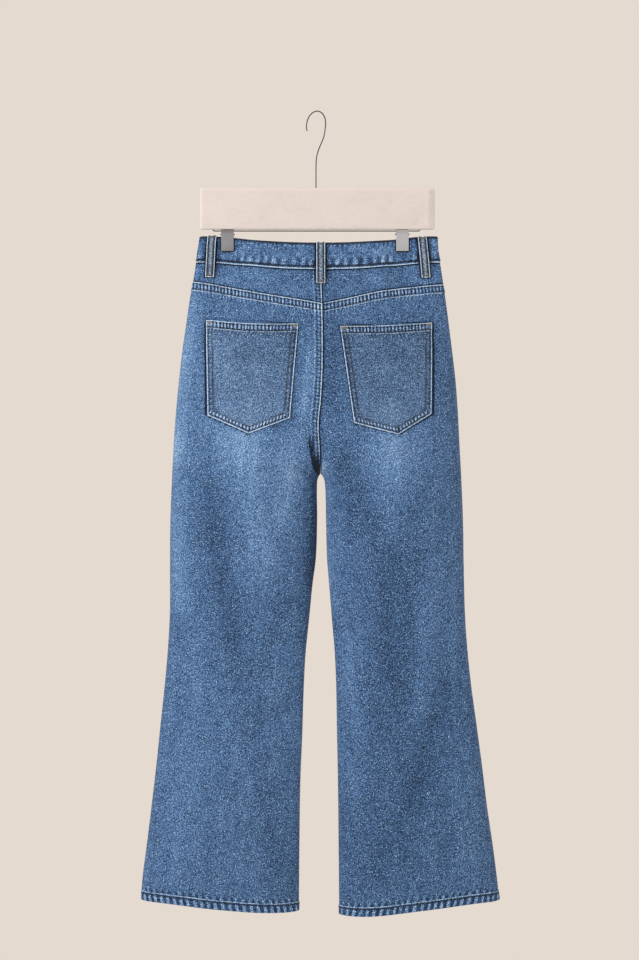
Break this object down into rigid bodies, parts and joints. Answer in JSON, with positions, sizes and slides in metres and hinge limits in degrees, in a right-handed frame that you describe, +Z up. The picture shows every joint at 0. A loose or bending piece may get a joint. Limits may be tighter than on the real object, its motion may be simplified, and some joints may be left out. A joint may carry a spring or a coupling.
{
  "type": "bootcut jeans on a clip hanger",
  "caption": "Empty bootcut denim jeans with a back yoke, patch pockets and belt loops, hanging by the waistband from a clip hanger with a cloth covered bar.",
  "frame": {"origin": "the hook's seat: the inner top of the hook, where it rests on a rail", "axes": "+Z up, the jeans' fly faces -Y, the back pockets face +Y, +X is the wearer's left"},
  "size_m": [0.538, 0.0881, 1.2044],
  "materials": {
    "denim": "stonewashed mid blue denim, matt twill",
    "cover_cloth": "cream cotton, matt",
    "hanger_wire": "satin zinc plated wire",
    "clip_steel": "grey pressed steel, satin",
    "button_metal": "aged brass, satin"
  },
  "bodies": {
    "root": {"waistband": "denim", "fly": "denim", "yoke_left": "denim", "yoke_right": "denim", "back_left": "denim", "back_right": "denim", "front_left": "denim", "front_right": "denim", "pocket_facing_left": "denim", "pocket_facing_right": "denim", "back_pocket_left": "denim", "back_pocket_right": "denim", "belt_loop_back_left": "denim", "belt_loop_back_centre": "denim", "belt_loop_back_right": "denim", "belt_loop_front_left": "denim", "belt_loop_front_right": "denim", "waist_button": "button_metal", "hanger_hook": "hanger_wire", "hanger_rail": "hanger_wire", "hanger_cover": "cover_cloth", "clip_left_back_jaw": "clip_steel", "clip_left_front_jaw": "clip_steel", "clip_left_pin": "hanger_wire", "clip_right_back_jaw": "clip_steel", "clip_right_front_jaw": "clip_steel", "clip_right_pin": "hanger_wire"}
  },
  "joints": []
}
